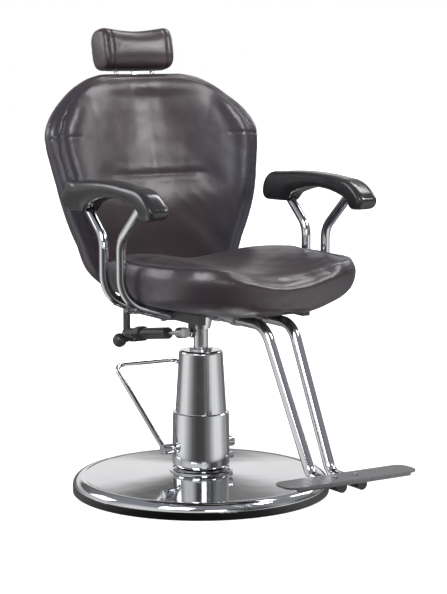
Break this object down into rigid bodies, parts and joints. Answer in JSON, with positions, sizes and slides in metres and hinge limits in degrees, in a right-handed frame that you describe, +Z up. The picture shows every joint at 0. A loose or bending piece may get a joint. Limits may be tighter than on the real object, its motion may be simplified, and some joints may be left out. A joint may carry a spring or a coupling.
{
  "type": "threading chair",
  "caption": "Hydraulic salon threading chair: round base, pump and foot pedal, swivel seat, arm pads on bent tubes, T footrest, reclining back and sliding headrest.",
  "frame": {"origin": "on the floor, centre of the round base, under the axis of the pump", "axes": "+Z up along the pump, the sitter faces -Y, +X is the sitter's left"},
  "size_m": [0.6102, 0.9966, 1.09],
  "materials": {
    "chrome_base": "mirror chrome plating",
    "chrome_tube": "mirror chrome plating on bent tube, rod and plate",
    "bright_steel": "ground steel",
    "zinc_steel": "zinc-plated steel",
    "black_steel": "satin black paint",
    "cast": "rough casting, painted",
    "oil_steel": "turned steel, oiled",
    "bronze": "turned bronze",
    "rubber_ring": "matte black rubber",
    "black_plastic": "smooth black plastic",
    "black_moulding": "satin black moulded foam skin",
    "black_vinyl": "black upholstery vinyl, satin with fine grain",
    "plywood": "raw plywood"
  },
  "bodies": {
    "base": {"base_cover": "chrome_base", "floor_ring": "rubber_ring", "base_plate": "cast", "foot_bolts": "zinc_steel", "pump_foot": "chrome_base", "pump_cylinder": "oil_steel", "guide_bush": "bronze", "gland_nut": "chrome_base", "lower_sleeve": "chrome_base", "upper_sleeve": "chrome_base", "oil_plug": "chrome_base", "pedal_shaft": "bright_steel"},
    "pedal": {"pedal_hubs": "chrome_tube", "pedal_bail": "chrome_tube"},
    "lift": {"piston_rod": "bright_steel", "piston_seal": "rubber_ring"},
    "seat": {"taper_hub": "chrome_base", "mount_plate": "black_steel", "frame_bolts": "zinc_steel", "front_cross_bars": "black_steel", "rear_cross_bar": "black_steel", "left_seat_rail": "black_steel", "right_seat_rail": "black_steel", "seat_board": "plywood", "seat_cushion": "black_vinyl", "left_front_arm_tube": "chrome_tube", "right_front_arm_tube": "chrome_tube", "left_rear_arm_tube": "chrome_tube", "right_rear_arm_tube": "chrome_tube", "left_arm_pad": "black_moulding", "right_arm_pad": "black_moulding", "left_footrest_tube": "chrome_tube", "right_footrest_tube": "chrome_tube", "footrest_saddles": "zinc_steel", "footrest_plate": "chrome_tube", "footrest_caps": "black_plastic", "footrest_screws": "zinc_steel", "hinge_lugs": "black_steel", "seat_pivot_pins": "bright_steel", "strut_bracket": "black_steel"},
    "strut_front": {"strut_rod": "bright_steel", "strut_end_block": "bright_steel"},
    "strut_rear": {"strut_cylinder": "black_steel", "strut_clevis": "black_steel", "strut_rear_pin": "bright_steel", "release_collar": "black_steel", "release_pin": "bright_steel"},
    "release": {"release_handle": "black_steel", "release_knob": "black_plastic"},
    "back": {"left_hinge_arm": "black_steel", "right_hinge_arm": "black_steel", "back_board": "plywood", "board_screws": "zinc_steel", "back_cushion": "black_vinyl", "back_rear_panel": "black_vinyl", "headrest_guide": "black_plastic"},
    "headrest": {"headrest_posts": "bright_steel", "headrest_ratchet_bar": "bright_steel", "headrest_board": "plywood", "headrest_cushion": "black_vinyl"}
  },
  "joints": [
    {"name": "pedal_press", "type": "hinge", "parent": "base", "child": "pedal", "pos_m": [0, 0.015, 0.104], "axis": [-1, 0, 0], "range_deg": [0, 30], "stiffness_Nm_per_rad": 6, "springref_deg": -34.38},
    {"name": "seat_lift", "type": "slide", "parent": "base", "child": "lift", "axis": [0, 0, 1], "range_m": [-0.03, 0.12]},
    {"name": "seat_swivel", "type": "hinge", "parent": "lift", "child": "seat", "pos_m": [0, 0, 0.41], "axis": [0, 0, 1], "continuous": true},
    {"name": "back_recline", "type": "hinge", "parent": "seat", "child": "back", "pos_m": [0, 0.207, 0.417], "axis": [-1, 0, 0], "range_deg": [0, 40]},
    {"name": "headrest_height", "type": "slide", "parent": "back", "child": "headrest", "axis": [0, 0.2079, 0.9781], "range_m": [0, 0.07]},
    {"name": "strut_swing", "type": "hinge", "parent": "seat", "child": "strut_front", "pos_m": [-0.075, -0.084, 0.395], "axis": [-1, 0, 0], "range_deg": [-0.5, 2]},
    {"name": "strut_close", "type": "slide", "parent": "strut_front", "child": "strut_rear", "axis": [0, -0.9901, 0.1402], "range_m": [-0.0005, 0.0475]},
    {"name": "release_lift", "type": "hinge", "parent": "strut_rear", "child": "release", "pos_m": [-0.099, 0.15177, 0.35052], "axis": [0, -0.9901, 0.1402], "range_deg": [0, 12], "stiffness_Nm_per_rad": 2, "springref_deg": -14.32}
  ],
  "couplings": [
    {"joint": "strut_swing", "follows": "back_recline", "ratio": 0.028},
    {"joint": "strut_close", "follows": "back_recline", "m_per_rad": 0.0665}
  ]
}
